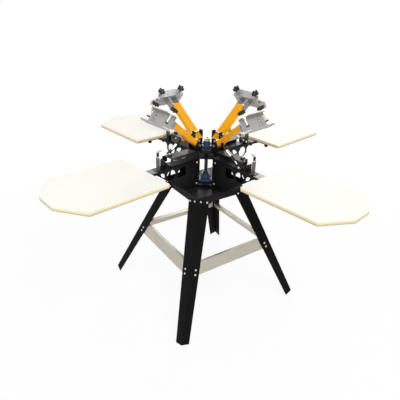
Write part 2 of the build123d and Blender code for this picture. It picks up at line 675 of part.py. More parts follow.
def clevis():
    """Bracket that carries one print arm between two tall ears."""
    inner = CLEVIS_GAP / 2
    outer = inner + CLEVIS_SHEET
    floor = OUTRIGGER_TOP_Z
    top = floor + CLEVIS_HEIGHT
    ear = [(CLEVIS_INNER_R, floor), (CLEVIS_OUTER_R, floor),
           (CLEVIS_OUTER_R, top - CLEVIS_STEP_DROP - 12),
           (CLEVIS_STEP_R, top - CLEVIS_STEP_DROP), (CLEVIS_STEP_R, top - 8),
           (CLEVIS_STEP_R - 8, top), (CLEVIS_INNER_R, top)]
    side = Plane(origin=(0, outer, 0), x_dir=(1, 0, 0), z_dir=(0, -1, 0))
    body = prism(side, ear, 2 * outer)
    body -= block((CLEVIS_INNER_R - 1, CLEVIS_OUTER_R + 1), (-inner, inner),
                  (floor + CLEVIS_SHEET, top + 1))
    for (r, z), radius in (((PIVOT_R, PIVOT_Z), PIVOT_RADIUS), (stop_pin_spot(), STOP_PIN_RADIUS)):
        body -= rod((r, -outer - 1, z), (r, outer + 1, z), radius)
    return body


def stop_pin_spot():
    """(r, z) of the cross bolt that the raised arm leans on."""
    lift = radians(RAISE_ANGLE)
    normal = TUBE_DEPTH / 2 + STOP_PIN_RADIUS + REST_GAP
    along = (STOP_PIN_R - PIVOT_R + normal * sin(lift)) / cos(lift)
    return STOP_PIN_R, PIVOT_Z + along * sin(lift) + normal * cos(lift)


def carousel_bolts():
    """Pivot and stop bolts, strut studs, stop heads and bearing bolts."""
    outer = CLEVIS_GAP / 2 + CLEVIS_SHEET
    pieces = []
    stop = stop_pin_spot()
    for (r, z), radius, head in (((PIVOT_R, PIVOT_Z), PIVOT_RADIUS, 8.5),
                                 (stop, STOP_PIN_RADIUS, 6.5)):
        pin = rod((r, -outer, z), (r, outer, z), radius)
        for sign in (-1, 1):
            pin += hex_bar((r, sign * outer, z), (r, sign * (outer + 6), z), head * sqrt(3))
        pieces.append(pin)
    half = OUTRIGGER_WIDTH / 2
    stud_in = -half
    stud_out = STRUT_T - STRUT_EYE_WIDTH / 2 - 3
    stud = rod((STRUT_LOWER_R, stud_in, STRUT_LOWER_Z), (STRUT_LOWER_R, stud_out, STRUT_LOWER_Z),
               STRUT_PIN_RADIUS)
    stud += rod((STRUT_LOWER_R, stud_out, STRUT_LOWER_Z),
                (STRUT_LOWER_R, stud_out - 2, STRUT_LOWER_Z), STRUT_PIN_RADIUS + 2)
    pieces.append(stud)
    top = PIVOT_Z - TUBE_DEPTH / 2 - REST_GAP - BOLT_HEAD_HEIGHT
    pieces.append(bolt_head((STOP_POST_R, 0, top), (0, 0, 1)))
    pieces = [station(piece, n) for piece in pieces for n in range(1, STATIONS + 1)]
    reach = UPPER_FLANGE_SIDE / 2 - BEARING_BOLT_INSET
    for number in range(STATIONS):
        spot = (Rot(0, 0, 90 * number + 45) * Pos(reach, reach, 0)).position
        spot += Vector(0, 0, TURRET_TOP_Z + UPPER_FLANGE_HEIGHT)
        pieces.append(hex_bar(spot, spot + Vector(0, 0, BOLT_HEAD_HEIGHT), BEARING_BOLT_FLATS))
    return pieces


# ----------------------------------------------------------------- print head
def head_place(lift):
    """Frame of a print head that is raised by the given angle."""
    return Location((PIVOT_R, 0, PIVOT_Z), (0, -lift, 0))


def print_arm():
    """Rectangular tube with its strut plate and stud; x along the arm."""
    w, d = TUBE_WIDTH / 2, TUBE_DEPTH / 2
    tube = block((-TUBE_STUB, TUBE_REACH), (-w, w), (-d, d))
    tube -= block((-TUBE_STUB - 1, TUBE_REACH + 1), (-w + TUBE_WALL, w - TUBE_WALL),
                  (-d + TUBE_WALL, d - TUBE_WALL))
    tube -= rod((0, -w - 1, 0), (0, w + 1, 0), PIVOT_RADIUS + RUN_CLEARANCE)
    side = Plane(origin=(0, -w, 0), x_dir=(1, 0, 0), z_dir=(0, -1, 0))
    plate = [(GUSSET_START, 8), (GUSSET_START, -d), (STRUT_UPPER_S - 9, -GUSSET_DROP),
             (STRUT_UPPER_S + 7, -GUSSET_DROP), (GUSSET_END, -d), (GUSSET_END, 8)]
    gusset = prism(side, plate, GUSSET_SHEET)
    stud_end = STRUT_T + STRUT_EYE_WIDTH / 2 + STUD_GAP
    stud = rod((STRUT_UPPER_S, -w - GUSSET_SHEET, STRUT_UPPER_N),
               (STRUT_UPPER_S, stud_end, STRUT_UPPER_N), STRUT_PIN_RADIUS + 1)
    return tube + gusset + stud


def fork():
    """U-bracket on the arm's end, its bolts and the two guide screws."""
    w = TUBE_WIDTH / 2
    outer = w + FORK_CHEEK
    tail = POST_S - FORK_TAIL
    body = block((tail, CLAMP_S), (-outer, outer), (-FORK_BELOW, FORK_ABOVE))
    body -= block((tail - 1, FORK_PLATE_S), (-w, w), (-FORK_BELOW - 1, FORK_ABOVE + 1))
    tip = SLEEVE_RADIUS + GUIDE_GAP
    body -= rod((POST_S, -outer - 1, 0), (POST_S, outer + 1, 0), GUIDE_SCREW_RADIUS)
    pieces = [body]
    for sign in (-1, 1):
        for back, n in FORK_BOLTS:
            seat, s = sign * outer, POST_S - back
            pieces.append(hex_bar((s, seat, n), (s, seat + sign * FORK_BOLT_HEIGHT, n),
                                  FORK_BOLT_FLATS))
        screw = rod((POST_S, sign * tip, 0), (POST_S, sign * GUIDE_SCREW_END, 0),
                    GUIDE_SCREW_RADIUS)
        screw += hex_bar((POST_S, sign * outer, 0), (POST_S, sign * (outer + 5), 0), 13)
        pieces.append(screw)
    for sign in (-1, 1):
        for n in (CLAMP_SLOT_N - 8, CLAMP_SLOT_N + 8):
            t = sign * CLAMP_SLOT_T
            pieces.append(hex_bar((CLAMP_FACE_S, t, n), (CLAMP_FACE_S + FORK_BOLT_HEIGHT, t, n),
                                  FORK_BOLT_FLATS))
    return pieces


def screen_clamp():
    """Wide folded channel that grips the edge of a screen frame."""
    half, sheet = CLAMP_HALF_WIDTH, CLAMP_SHEET
    low = CLAMP_THROAT_BOTTOM - sheet
    body = block((CLAMP_S, CLAMP_FACE_S), (-half, half), (low, CLAMP_TOP))
    out = CLAMP_S + CLAMP_TOP_DEPTH
    shoulder = CLAMP_S + CLAMP_TOP_SHOULDER
    top = [(CLAMP_S, -half), (shoulder, -half), (out, -CLAMP_TOP_TIP),
           (out, CLAMP_TOP_TIP), (shoulder, half), (CLAMP_S, half)]
    body += prism(Plane.XY.offset(CLAMP_TOP - sheet), top, sheet)
    out = CLAMP_S + CLAMP_LOW_DEPTH
    ear = CLAMP_S + CLAMP_EAR_OUT
    bottom = [(CLAMP_S, -half), (ear, -CLAMP_EAR), (out, -half),
              (out, half), (ear, CLAMP_EAR), (CLAMP_S, half)]
    body += prism(Plane.XY.offset(low), bottom, sheet)
    for sign in (-1, 1):
        t = sign * CLAMP_SLOT_T
        r, reach = CLAMP_SLOT_WIDTH / 2, (CLAMP_SLOT_LENGTH - CLAMP_SLOT_WIDTH) / 2
        body -= block((CLAMP_S - 1, CLAMP_FACE_S + 1), (t - r, t + r),
                      (CLAMP_SLOT_N - reach, CLAMP_SLOT_N + reach))
        for n in (CLAMP_SLOT_N - reach, CLAMP_SLOT_N + reach):
            body -= rod((CLAMP_S - 1, t, n), (CLAMP_FACE_S + 1, t, n), r)
        s, t = CLAMP_S + SCREW_OUT, sign * SCREW_T
        under = CLAMP_TOP - sheet
        body += hex_bar((s, t, under - SCREW_NUT_HEIGHT), (s, t, under),
                        SCREW_NUT_RADIUS * sqrt(3))
        body -= rod((s, t, under - SCREW_NUT_HEIGHT - 1), (s, t, CLAMP_TOP + 1),
                    SCREW_RADIUS + RUN_CLEARANCE)
    return body


def clamp_screw(sign):
    """Star knob, rod and pad that press the screen frame down."""
    s, t = CLAMP_S + SCREW_OUT, sign * SCREW_T
    pad_low = CLAMP_THROAT_BOTTOM + PAD_GAP
    knob_low, knob_top = KNOB_N - KNOB_THICKNESS / 2, KNOB_N + KNOB_THICKNESS / 2
    body = rod((s, t, pad_low), (s, t, pad_low + PAD_HEIGHT), PAD_RADIUS)
    body += rod((s, t, pad_low), (s, t, knob_top), SCREW_RADIUS)
    body += rod((s, t, knob_low), (s, t, knob_top), KNOB_RADIUS)
    body += rod((s, t, knob_low - KNOB_BOSS_HEIGHT), (s, t, knob_low), KNOB_BOSS_RADIUS)
    for lobe in range(KNOB_LOBES):
        turn = radians(360 / KNOB_LOBES * lobe)
        x, y = s + KNOB_LOBE_OFFSET * cos(turn), t + KNOB_LOBE_OFFSET * sin(turn)
        body += rod((x, y, knob_low), (x, y, knob_top), KNOB_LOBE_RADIUS)
    return body


def strut_ends(lift):
    """(r, z) of the upper strut pivot on the raised arm and of the fixed lower one."""
    upper = head_place(lift) * Pos(STRUT_UPPER_S, 0, STRUT_UPPER_N)
    return (upper.position.X, upper.position.Z), (STRUT_LOWER_R, STRUT_LOWER_Z)


def strut_parts(lift):
    """Cylinder with its upper eye, and rod with its lower eye, for one lift of the arm."""
    upper, lower = strut_ends(lift)
    length = hypot(lower[0] - upper[0], lower[1] - upper[1])
    tilt = degrees(atan2(lower[1] - upper[1], lower[0] - upper[0]))
    half = STRUT_EYE_WIDTH / 2
    end = STRUT_BODY_START + STRUT_BODY_LENGTH
    body = rod((0, -half, 0), (0, half, 0), STRUT_EYE_RADIUS)
    body += rod((0, 0, 0), (STRUT_BODY_START, 0, 0), STRUT_NECK_RADIUS)
    body += rod((STRUT_BODY_START, 0, 0), (end, 0, 0), STRUT_BODY_RADIUS)
    body -= rod((STRUT_BODY_START + 12, 0, 0), (end + 1, 0, 0),
                STRUT_ROD_RADIUS + RUN_CLEARANCE)
    body += rod((0, -half - 2, 0), (0, -half, 0), STRUT_PIN_RADIUS + 1)
    stem = rod((end - STRUT_FREE_ROD, 0, 0), (length, 0, 0), STRUT_ROD_RADIUS)
    stem += rod((length, -half, 0), (length, half, 0), STRUT_EYE_RADIUS)
    stem += rod((length - STRUT_EYE_RADIUS - 4, 0, 0), (length, 0, 0), STRUT_NECK_RADIUS)
    stem -= rod((length, -half - 1, 0), (length, half + 1, 0),
                STRUT_PIN_RADIUS + RUN_CLEARANCE)
    seat = Location((upper[0], STRUT_T, upper[1]), (0, -tilt, 0))
    return seat * body, seat * stem


# ---------------------------------------------------------------------- write
def save_stand():
    save("table_plate", table_plate())
    for number in range(1, 5):
        save(f"leg_{number}", leg(number))
    save("braces", [brace(number) for number in range(1, 5)])
    save("stand_bolts", stand_bolts())
    save("shaft", shaft())
    save("shaft_nut", shaft_nut())


def save_lower_carousel():
    save("carousel_base", carousel_base())
    save("carousel_cap", carousel_cap())
    save("lower_bearing", lower_bearing())
    save("hub_bolts", hub_bolts())
    post, gate = arm_posts()
    save("arm_posts", [station(p, n) for p in (post, gate) for n in range(1, STATIONS + 1)])
    save("post_rollers", all_stations(post_roller))
    arm = pallet_arm()
    for number in range(1, STATIONS + 1):
        shift = PALLET_SHIFTS[number - 1]
        save(f"pallet_arm_{number}", station(arm, number))
        save(f"pallet_{number}", station(pallet(shift), number))
        save(f"pallet_clamp_{number}", [station(p, number) for p in pallet_clamp(shift)])


def save_upper_carousel():
    save("turret_disc", turret_disc())
    save("upper_bearing", upper_bearing())
    save("outriggers", all_stations(outrigger))
    save("clevises", all_stations(clevis))
    save("carousel_bolts", carousel_bolts())


def save_print_heads():
    arm, clamp, fork_pieces = print_arm(), screen_clamp(), fork()
    screws = {"a": clamp_screw(-1), "b": clamp_screw(1)}
    for number, lift in enumerate(REST_LIFTS, start=1):
        place = head_place(lift)
        strut_body, strut_rod = strut_parts(lift)
        save(f"print_arm_{number}", station(place * arm, number))
        save(f"fork_{number}", [station(place * piece, number) for piece in fork_pieces])
        save(f"screen_clamp_{number}", station(place * clamp, number))
        for mark, screw in screws.items():
            save(f"clamp_screw_{number}{mark}", station(place * screw, number))
        save(f"strut_body_{number}", station(strut_body, number))
        save(f"strut_rod_{number}", station(strut_rod, number))


save_stand()
save_lower_carousel()
save_upper_carousel()
save_print_heads()
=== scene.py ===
"""Dresses a four-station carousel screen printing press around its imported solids."""
import json
import logging
from dataclasses import dataclass, field, replace
from enum import Enum
from math import cos, pi, radians, sin
from typing import Any, Optional, Sequence

import bpy
from mathutils import Matrix, Vector


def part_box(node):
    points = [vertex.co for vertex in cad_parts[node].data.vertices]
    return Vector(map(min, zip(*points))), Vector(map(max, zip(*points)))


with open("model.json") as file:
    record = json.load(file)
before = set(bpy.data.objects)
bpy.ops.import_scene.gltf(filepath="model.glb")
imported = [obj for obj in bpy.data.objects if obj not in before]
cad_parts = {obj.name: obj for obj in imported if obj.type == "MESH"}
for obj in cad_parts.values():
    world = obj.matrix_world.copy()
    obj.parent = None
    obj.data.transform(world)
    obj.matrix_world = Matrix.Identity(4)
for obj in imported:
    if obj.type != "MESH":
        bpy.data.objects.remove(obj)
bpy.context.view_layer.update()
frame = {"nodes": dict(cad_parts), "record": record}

LOG = logging.getLogger("press")
STATIONS = 4
SCREW_SIDES = {"a": -1, "b": 1}
MM = 0.001
SHAFT_FOOT = (0.0, 0.0, 0.0)
SHAFT_AXIS = (0.0, 0.0, 1.0)
EVEN = (1.0, 1.0, 1.0)
WHITE = (1.0, 1.0, 1.0)

Colour = tuple[float, float, float]
Triple = Sequence[float]


# ------------------------------------------------------------------ shader maths
class Operation(Enum):
    """Math node operations used by the socket wrapper."""

    ADD = "ADD"
    SUBTRACT = "SUBTRACT"
    MULTIPLY = "MULTIPLY"
    LARGER = "MAXIMUM"
    ABSOLUTE = "ABSOLUTE"
    SINE = "SINE"


class Value:
    """A float socket that takes part in ordinary Python arithmetic."""

    def __init__(self, nodes: "Nodes", socket: Any) -> None:
        """Wraps one socket of one node tree."""
        self.nodes = nodes
        self.socket = socket

    def _math(self, operation: Operation, first: Any, second: Any = None) -> "Value":
        """Adds one Math node.

        Args:
            operation: what the node does.
            first: its first value, a number or a Value.
            second: its second value, where it has one.

        Returns:
            The node's result.
        """
        values = {0: first} if second is None else {0: first, 1: second}
        node = self.nodes.node("ShaderNodeMath", {"operation": operation.value}, values)
        return Value(self.nodes, node.outputs[0])

    def __add__(self, other: Any) -> "Value":
        """Sum."""
        return self._math(Operation.ADD, self, other)

    __radd__ = __add__

    def __sub__(self, other: Any) -> "Value":
        """Difference."""
        return self._math(Operation.SUBTRACT, self, other)

    def __rsub__(self, other: Any) -> "Value":
        """Difference with the value on the right."""
        return self._math(Operation.SUBTRACT, other, self)

    def __mul__(self, other: Any) -> "Value":
        """Product."""
        return self._math(Operation.MULTIPLY, self, other)

    __rmul__ = __mul__

    def __abs__(self) -> "Value":
        """Size without its sign."""
        return self._math(Operation.ABSOLUTE, self)

    def sine(self) -> "Value":
        """Sine of an angle in radians."""
        return self._math(Operation.SINE, self)

    def at_least(self, other: Any) -> "Value":
        """The larger of two values."""
        return self._math(Operation.LARGER, self, other)

    def step(self, low: float, high: float) -> "Value":
        """Smooth rise from 0 at low to 1 at high.

        Args:
            low: where the rise starts.
            high: where it ends.

        Returns:
            A mask from 0 to 1.
        """
        node = self.nodes.node(
            "ShaderNodeMapRange", {"interpolation_type": "SMOOTHSTEP"},
            {"Value": self, "From Min": low, "From Max": high, "To Min": 0.0, "To Max": 1.0})
        return Value(self.nodes, node.outputs["Result"])

    def band(self, low: float, high: float, soft: float) -> "Value":
        """1 between two values and 0 outside them, with soft edges."""
        return self.step(low - soft, low + soft) * (1 - self.step(high - soft, high + soft))


class Nodes:
    """A node tree that is built through a single node method."""

    def __init__(self, owner: Any) -> None:
        """Empties the tree of a material or of the world."""
        owner.use_nodes = True
        self.tree = owner.node_tree
        self.tree.nodes.clear()

    def node(self, kind: str, settings: Optional[dict[str, Any]] = None,
             values: Optional[dict[Any, Any]] = None) -> Any:
        """Makes a node, applies its settings, then sets or links its sockets.

        Args:
            kind: the node's type.
            settings: the node's attributes, set first.
            values: numbers, colours, vectors or links by socket name or index.

        Returns:
            The node.
        """
        made = self.tree.nodes.new(kind)
        for key, value in (settings or {}).items():
            setattr(made, key, value)
        for key, value in (values or {}).items():
            self.feed(made.inputs[key], value)
        return made

    def feed(self, socket: Any, value: Any) -> None:
        """Sets a socket to a number or colour, or links it."""
        if isinstance(value, Value):
            value = value.socket
        if isinstance(value, bpy.types.NodeSocket):
            self.tree.links.new(value, socket)
        elif isinstance(value, (tuple, list)) and len(value) == 3 and socket.type == "RGBA":
            socket.default_value = (*value, 1.0)
        else:
            socket.default_value = value

    def looked_at(self) -> Value:
        """1 for the camera's own rays and for reflected and refracted ones, else 0."""
        rays = self.node("ShaderNodeLightPath").outputs
        camera, glossy, clear = (Value(self, rays[name]) for name in (
            "Is Camera Ray", "Is Glossy Ray", "Is Transmission Ray"))
        return camera.at_least(glossy).at_least(clear)


class Shader(Nodes):
    """One material with a principled surface."""

    def __init__(self, name: str) -> None:
        """Starts the material."""
        self.material = bpy.data.materials.new(name)
        super().__init__(self.material)
        self.surface = self.node("ShaderNodeBsdfPrincipled")
        self.out = self.node("ShaderNodeOutputMaterial", {},
                             {"Surface": self.surface.outputs["BSDF"]})

    def place(self) -> Any:
        """Object coordinates in metres."""
        return self.node("ShaderNodeTexCoord").outputs["Object"]

    def facing(self, axis: Triple) -> Value:
        """How far the surface faces a fixed direction of its own body.

        Args:
            axis: the direction, in the body's rest frame.

        Returns:
            The cosine between the surface normal and the direction.
        """
        normal = self.node("ShaderNodeTexCoord").outputs["Normal"]
        return Value(self, self.vector("DOT_PRODUCT", normal, tuple(axis))["Value"])

    def vector(self, operation: str, *values: Any) -> Any:
        """Adds one Vector Math node.

        Args:
            operation: what the node does.
            values: its vectors, as numbers or links.

        Returns:
            The node's outputs.
        """
        return self.node("ShaderNodeVectorMath", {"operation": operation},
                         dict(enumerate(values))).outputs

    def along(self, origin: Triple = SHAFT_FOOT, axis: Triple = SHAFT_AXIS) -> Value:
        """Distance of a point along an axis, in millimetres, the shaft's if none is given."""
        shifted = self.vector("SUBTRACT", self.place(), tuple(origin))[0]
        reach = self.vector("DOT_PRODUCT", shifted, tuple(axis))["Value"]
        return Value(self, reach) * (1 / MM)

    def off_axis(self, origin: Triple = SHAFT_FOOT, axis: Triple = SHAFT_AXIS) -> Value:
        """Distance of a point from an axis, in millimetres, the shaft's if none is given."""
        shifted = self.vector("SUBTRACT", self.place(), tuple(origin))[0]
        crossed = self.vector("CROSS_PRODUCT", shifted, tuple(axis))[0]
        return Value(self, self.vector("LENGTH", crossed)["Value"]) * (1 / MM)

    def noise(self, grain: "Grain") -> Value:
        """Soft procedural noise from 0 to 1.

        Args:
            grain: how coarse, rich and stretched it is.

        Returns:
            The noise value.
        """
        mapped = self.vector("MULTIPLY", self.place(), tuple(grain.stretch))[0]
        made = self.node("ShaderNodeTexNoise", {},
                         {"Vector": mapped, "Scale": grain.scale, "Detail": grain.octaves,
                          "Roughness": grain.rough})
        return Value(self, made.outputs["Fac"])

    def mix(self, factor: Any, first: Any, second: Any) -> Any:
        """Blends two colours.

        Args:
            factor: 0 for the first colour, 1 for the second.
            first: a colour or a colour socket.
            second: a colour or a colour socket.

        Returns:
            The blended colour's socket.
        """
        made = self.node("ShaderNodeMix", {"data_type": "RGBA"})
        colours = [s for s in made.inputs if s.type == "RGBA"]
        self.feed(made.inputs[0], factor)
        self.feed(colours[0], first)
        self.feed(colours[1], second)
        return [s for s in made.outputs if s.type == "RGBA"][0]

    def overlay(self, mask: Value, coat: "Coat") -> None:
        """Lays a plain coat over what the surface shows so far.

        Args:
            mask: where the new coat shows, from 0 to 1.
            coat: its colour, roughness and metallic look.
        """
        under = {name: self.shown(name) for name in ("Base Color", "Roughness", "Metallic")}
        self.set(Base_Color=self.mix(mask, under["Base Color"], coat.colour),
                 Roughness=mask * coat.rough + (1 - mask) * under["Roughness"],
                 Metallic=mask * coat.metal + (1 - mask) * under["Metallic"])

    def shown(self, name: str) -> Any:
        """What a principled socket is fed with at present.

        Args:
            name: the socket's name.

        Returns:
            A colour socket, a Value, or the plain number or colour.
        """
        socket = self.surface.inputs[name]
        if socket.is_linked:
            source = socket.links[0].from_socket
            return source if socket.type == "RGBA" else Value(self, source)
        return tuple(socket.default_value)[:3] if socket.type == "RGBA" else socket.default_value

    def relief(self, height: Any, strength: float, distance: float) -> None:
        """Feeds a bump into the surface normal."""
        bump = self.node("ShaderNodeBump", {},
                         {"Strength": strength, "Distance": distance, "Height": height})
        self.feed(self.surface.inputs["Normal"], bump.outputs["Normal"])

    def set(self, **sockets: Any) -> None:
        """Sets principled sockets by name, with underscores for spaces."""
        for name, value in sockets.items():
            self.feed(self.surface.inputs[name.replace("_", " ")], value)


# ----------------------------------------------------------------------- finishes
@dataclass(frozen=True)
class Grain:
    """One procedural noise.

    Attributes:
        scale: features per metre.
        octaves: layers of finer and finer detail.
        rough: strength of the finer layers.
        stretch: scale per axis, for grain and streaks.
    """

    scale: float
    octaves: float = 3.0
    rough: float = 0.5
    stretch: Triple = EVEN


DUST_AND_SHEEN_CLOUD = Grain(9.0, 4.0, 0.6)
ORANGE_PEEL = Grain(620.0, 2.0)
STAIN_CLOUD = Grain(14.0, 4.0, 0.6)
PLATING_BLOOM = Grain(120.0, 3.0, 0.6)
PLATING_GRIT = Grain(900.0, 2.0)
LAMINATE_CLOUD = Grain(5.0, 4.0, 0.55)
WOOD_FIBRE = Grain(300.0, 3.0, 0.6, (1.0, 1.0, 0.2))
WOOD_LAYERS = Grain(260.0, 1.0, 0.4, (0.02, 0.02, 1.0))
HANDLING_CLOUD = Grain(70.0, 3.0, 0.6)
FINE_GRIT = Grain(700.0, 2.0)
ALLOY_LINES = Grain(80.0, 3.0, 0.6, (1.0, 1.0, 0.25))
ALLOY_CLOUD = Grain(16.0, 4.0, 0.6)


def scaled(colour: Colour, factor: float) -> Colour:
    """The same colour, darker or lighter."""
    red, green, blue = (channel * factor for channel in colour)
    return red, green, blue


@dataclass(frozen=True)
class PowderCoat:
    """Sprayed and baked coat with a faint orange-peel skin, and on upward faces a pale layer of
    settled dust that, where heavy, is a painted sheen.
    """

    name: str
    colour: Colour
    rough: float
    dust_and_sheen: float
    gloss: float
    dust_and_sheen_colour: Colour = (0.42, 0.38, 0.32)
    dust_and_sheen_rough: float = 0.6
    cloud_rough: float = 0.08
    shade: float = 0.82
    peel: float = 0.05
    peel_depth: float = 0.0002

    def build(self) -> bpy.types.Material:
        """Makes the coated surface."""
        return self.lay().material

    def lay(self) -> Shader:
        """Builds the coat and returns its shader.

        Returns:
            The shader, for finishes that go on from this one.
        """
        shader = Shader(self.name)
        cloud = shader.noise(DUST_AND_SHEEN_CLOUD)
        top = shader.facing(SHAFT_AXIS).step(0.2, 0.95)
        # Pale layer on upward faces: settled dust where it is light, and a painted sheen of glossy
        # tops where it is heavy, as on the outriggers.
        dust_and_sheen_mask = top * cloud.step(0.35, 0.8) * self.dust_and_sheen
        body = shader.mix(cloud.step(0.3, 0.75), scaled(self.colour, self.shade), self.colour)
        shader.set(Base_Color=shader.mix(dust_and_sheen_mask, body, self.dust_and_sheen_colour), Metallic=0.0,
                   Roughness=self.rough + cloud * self.cloud_rough + dust_and_sheen_mask * self.dust_and_sheen_rough,
                   Specular_IOR_Level=self.gloss)
        shader.relief(shader.noise(ORANGE_PEEL), self.peel, self.peel_depth)
        return shader


@dataclass(frozen=True)
class BrushedMetal:
    """Bare metal with fine lines that run where the drawn stretch is smallest."""

    name: str
    colour: Colour
    drawn: tuple[float, float, float]
    rough: float
    stain: Colour = (0.34, 0.31, 0.27)
    stained: float = 0.2
    shade: float = 0.80
    metal: float = 0.9
    line_scale: float = 90.0
    line_rough: float = 0.16
    line_depth: float = 0.0002

    def build(self) -> bpy.types.Material:
        """Makes the drawn metal surface."""
        shader = Shader(self.name)
        line = shader.noise(Grain(self.line_scale, rough=0.6, stretch=self.drawn))
        tone = shader.mix(line.step(0.3, 0.7), scaled(self.colour, self.shade), self.colour)
        spot = shader.noise(STAIN_CLOUD).step(0.55, 0.85) * self.stained
        shader.set(Base_Color=shader.mix(spot, tone, self.stain), Metallic=self.metal,
                   Roughness=self.rough + (line - 0.5) * self.line_rough + spot * 0.3)
        shader.relief(line, 0.06, self.line_depth)
        return shader.material


@dataclass(frozen=True)
class PlatedSteel:
    """Zinc-plated fastener metal with a cloudy, faintly yellow bloom."""

    name: str
    colour: Colour = (0.66, 0.64, 0.58)
    bloom: Colour = (0.56, 0.47, 0.30)
    rough: float = 0.26
    metal: float = 0.95
    grit_depth: float = 0.0001

    def build(self) -> bpy.types.Material:
        """Makes the plated surface."""
        return self.lay().material

    def lay(self) -> Shader:
        """Builds the plating and returns its shader."""
        shader = Shader(self.name)
        cloud = shader.noise(PLATING_BLOOM)
        shader.set(Base_Color=shader.mix(cloud.step(0.5, 0.8) * 0.5, self.colour, self.bloom),
                   Metallic=self.metal, Roughness=self.rough + cloud * 0.14)
        shader.relief(shader.noise(PLATING_GRIT), 0.04, self.grit_depth)
        return shader


@dataclass(frozen=True)
class PalletBoard:
    """Ivory laminate face over a pale wooden core that shows at the edges."""

    name: str
    face: Colour = (0.915, 0.895, 0.83)
    core: Colour = (0.90, 0.78, 0.50)
    shade: Colour = (0.50, 0.43, 0.28)
    line: Colour = (0.66, 0.52, 0.30)
    top_mm: float = 915.0
    bottom_mm: float = 897.0
    shaded_to: float = 3.0
    worn: float = 0.95
    rough: float = 0.55
    gloss: float = 0.25
    fibre_depth: float = 0.0003

    def build(self) -> bpy.types.Material:
        """Makes the board's faces and its layered edge."""
        shader = Shader(self.name)
        flat = abs(shader.facing(SHAFT_AXIS)).step(0.5, 0.8)
        cloud, fibre = shader.noise(LAMINATE_CLOUD), shader.noise(WOOD_FIBRE)
        middle = (self.top_mm + self.bottom_mm) / 2
        lit = shader.along().step(self.bottom_mm, middle + self.shaded_to)
        lines = shader.noise(WOOD_LAYERS).step(0.45, 0.6) * 0.25 + fibre.step(0.5, 0.8) * 0.15
        edge = shader.mix(lines, shader.mix(lit, self.shade, self.core), self.line)
        face = shader.mix(cloud.step(0.35, 0.8) * 0.35, self.face,
                          scaled(self.face, self.worn))
        shader.set(Base_Color=shader.mix(flat, edge, face), Metallic=0.0,
                   Roughness=self.rough + (1 - flat) * 0.15 + cloud * 0.08,
                   Specular_IOR_Level=self.gloss)
        shader.relief(fibre * (1 - flat) + cloud * 0.1, 0.12, self.fibre_depth)
        return shader.material


@dataclass(frozen=True)
class Coat:
    """One plain surface used inside a banded finish."""

    colour: Colour
    rough: float
    metal: float = 0.0


@dataclass(frozen=True)
class Band:
    """A stretch along an axis, in millimetres, with its surface."""

    low: float
    high: float
    coat: Coat


BLACK_PLASTIC = Coat((0.010, 0.010, 0.011), 0.46)
BRIGHT_STEEL = Coat((0.70, 0.69, 0.67), 0.22, 0.95)
BRASS = Coat((0.78, 0.58, 0.22), 0.28, 0.95)
RUBBER = Coat((0.05, 0.05, 0.05), 0.75)
WHITE_NYLON = Coat((0.82, 0.82, 0.80), 0.45)
BLACK_GLOSS = Coat((0.008, 0.008, 0.009), 0.16)
BARE_STEEL = Coat((0.30, 0.29, 0.28), 0.50, 0.6)
DULL_STEEL = Coat((0.16, 0.15, 0.135), 0.45, 0.6)
OXIDE = Coat((0.06, 0.06, 0.06), 0.35, 0.7)


@dataclass(frozen=True)
class Banded:
    """Pieces screwed together on one axis, each stretch with its own surface."""

    name: str
    origin: tuple[float, float, float]
    axis: tuple[float, float, float]
    base: Coat
    bands: tuple[Band, ...]
    soft: float = 0.15
    thread_mm: tuple[float, float] = (0.0, 0.0)
    pitch: float = 1.5
    thread_depth: float = 0.0002
    worn: Colour = (0.3, 0.28, 0.25)
    gloss: float = 0.3

    def build(self) -> bpy.types.Material:
        """Makes the base surface, lays the bands over it and cuts the thread."""
        shader = Shader(self.name)
        reach = shader.along(self.origin, self.axis)
        cloud = shader.noise(HANDLING_CLOUD)
        shader.set(Base_Color=self.base.colour, Metallic=self.base.metal,
                   Roughness=self.base.rough + cloud * 0.08,
                   Specular_IOR_Level=self.gloss)
        for band in self.bands:
            shader.overlay(reach.band(band.low, band.high, self.soft), band.coat)
        shader.set(Base_Color=shader.mix(cloud.step(0.55, 0.9) * 0.12,
                                         shader.shown("Base Color"), self.worn))
        height = shader.noise(FINE_GRIT) * 0.1
        if self.thread_mm[0] < self.thread_mm[1]:
            ridge = (reach * (2 * pi / self.pitch)).sine()
            height = height + ridge * reach.band(*self.thread_mm, self.soft)
        shader.relief(height, 0.4, self.thread_depth)
        return shader.material


BLACK_POWDER = PowderCoat("black_powder", (0.007, 0.007, 0.008), rough=0.34, dust_and_sheen=0.05,
                          gloss=0.12)
LEG_POWDER = PowderCoat("leg_powder", (0.008, 0.0075, 0.0072), rough=0.46, dust_and_sheen=0.015,
                        gloss=0.03)
# The outriggers' heavy pale grey layer on upward faces is mostly a painted sheen of their glossy
# tops, over a little dust.
OUTRIGGER_POWDER_WITH_SHEEN = PowderCoat("outrigger_powder_with_sheen", (0.012, 0.012, 0.013), rough=0.30, dust_and_sheen=0.45,
                              gloss=0.5, dust_and_sheen_colour=(0.42, 0.40, 0.38))
ORANGE_POWDER = PowderCoat("orange_powder", (0.98, 0.435, 0.006), rough=0.34, dust_and_sheen=0.04,
                           gloss=0.15, dust_and_sheen_colour=(0.9, 0.5, 0.2))
BEARING_BLUE = PowderCoat("bearing_blue", (0.018, 0.036, 0.11), rough=0.26, dust_and_sheen=0.03,
                          gloss=0.5)
BRACE_STEEL = BrushedMetal("brace_steel", (0.56, 0.52, 0.45), (0.15, 0.15, 3.0), 0.40)
FORK_STEEL = BrushedMetal("fork_steel", (0.42, 0.41, 0.40), (1.0, 1.0, 0.3), 0.42)
SHAFT_STEEL = BrushedMetal("shaft_steel", (0.035, 0.033, 0.034), (3.0, 3.0, 0.1), 0.34, metal=0.5)
ZINC = PlatedSteel("zinc")


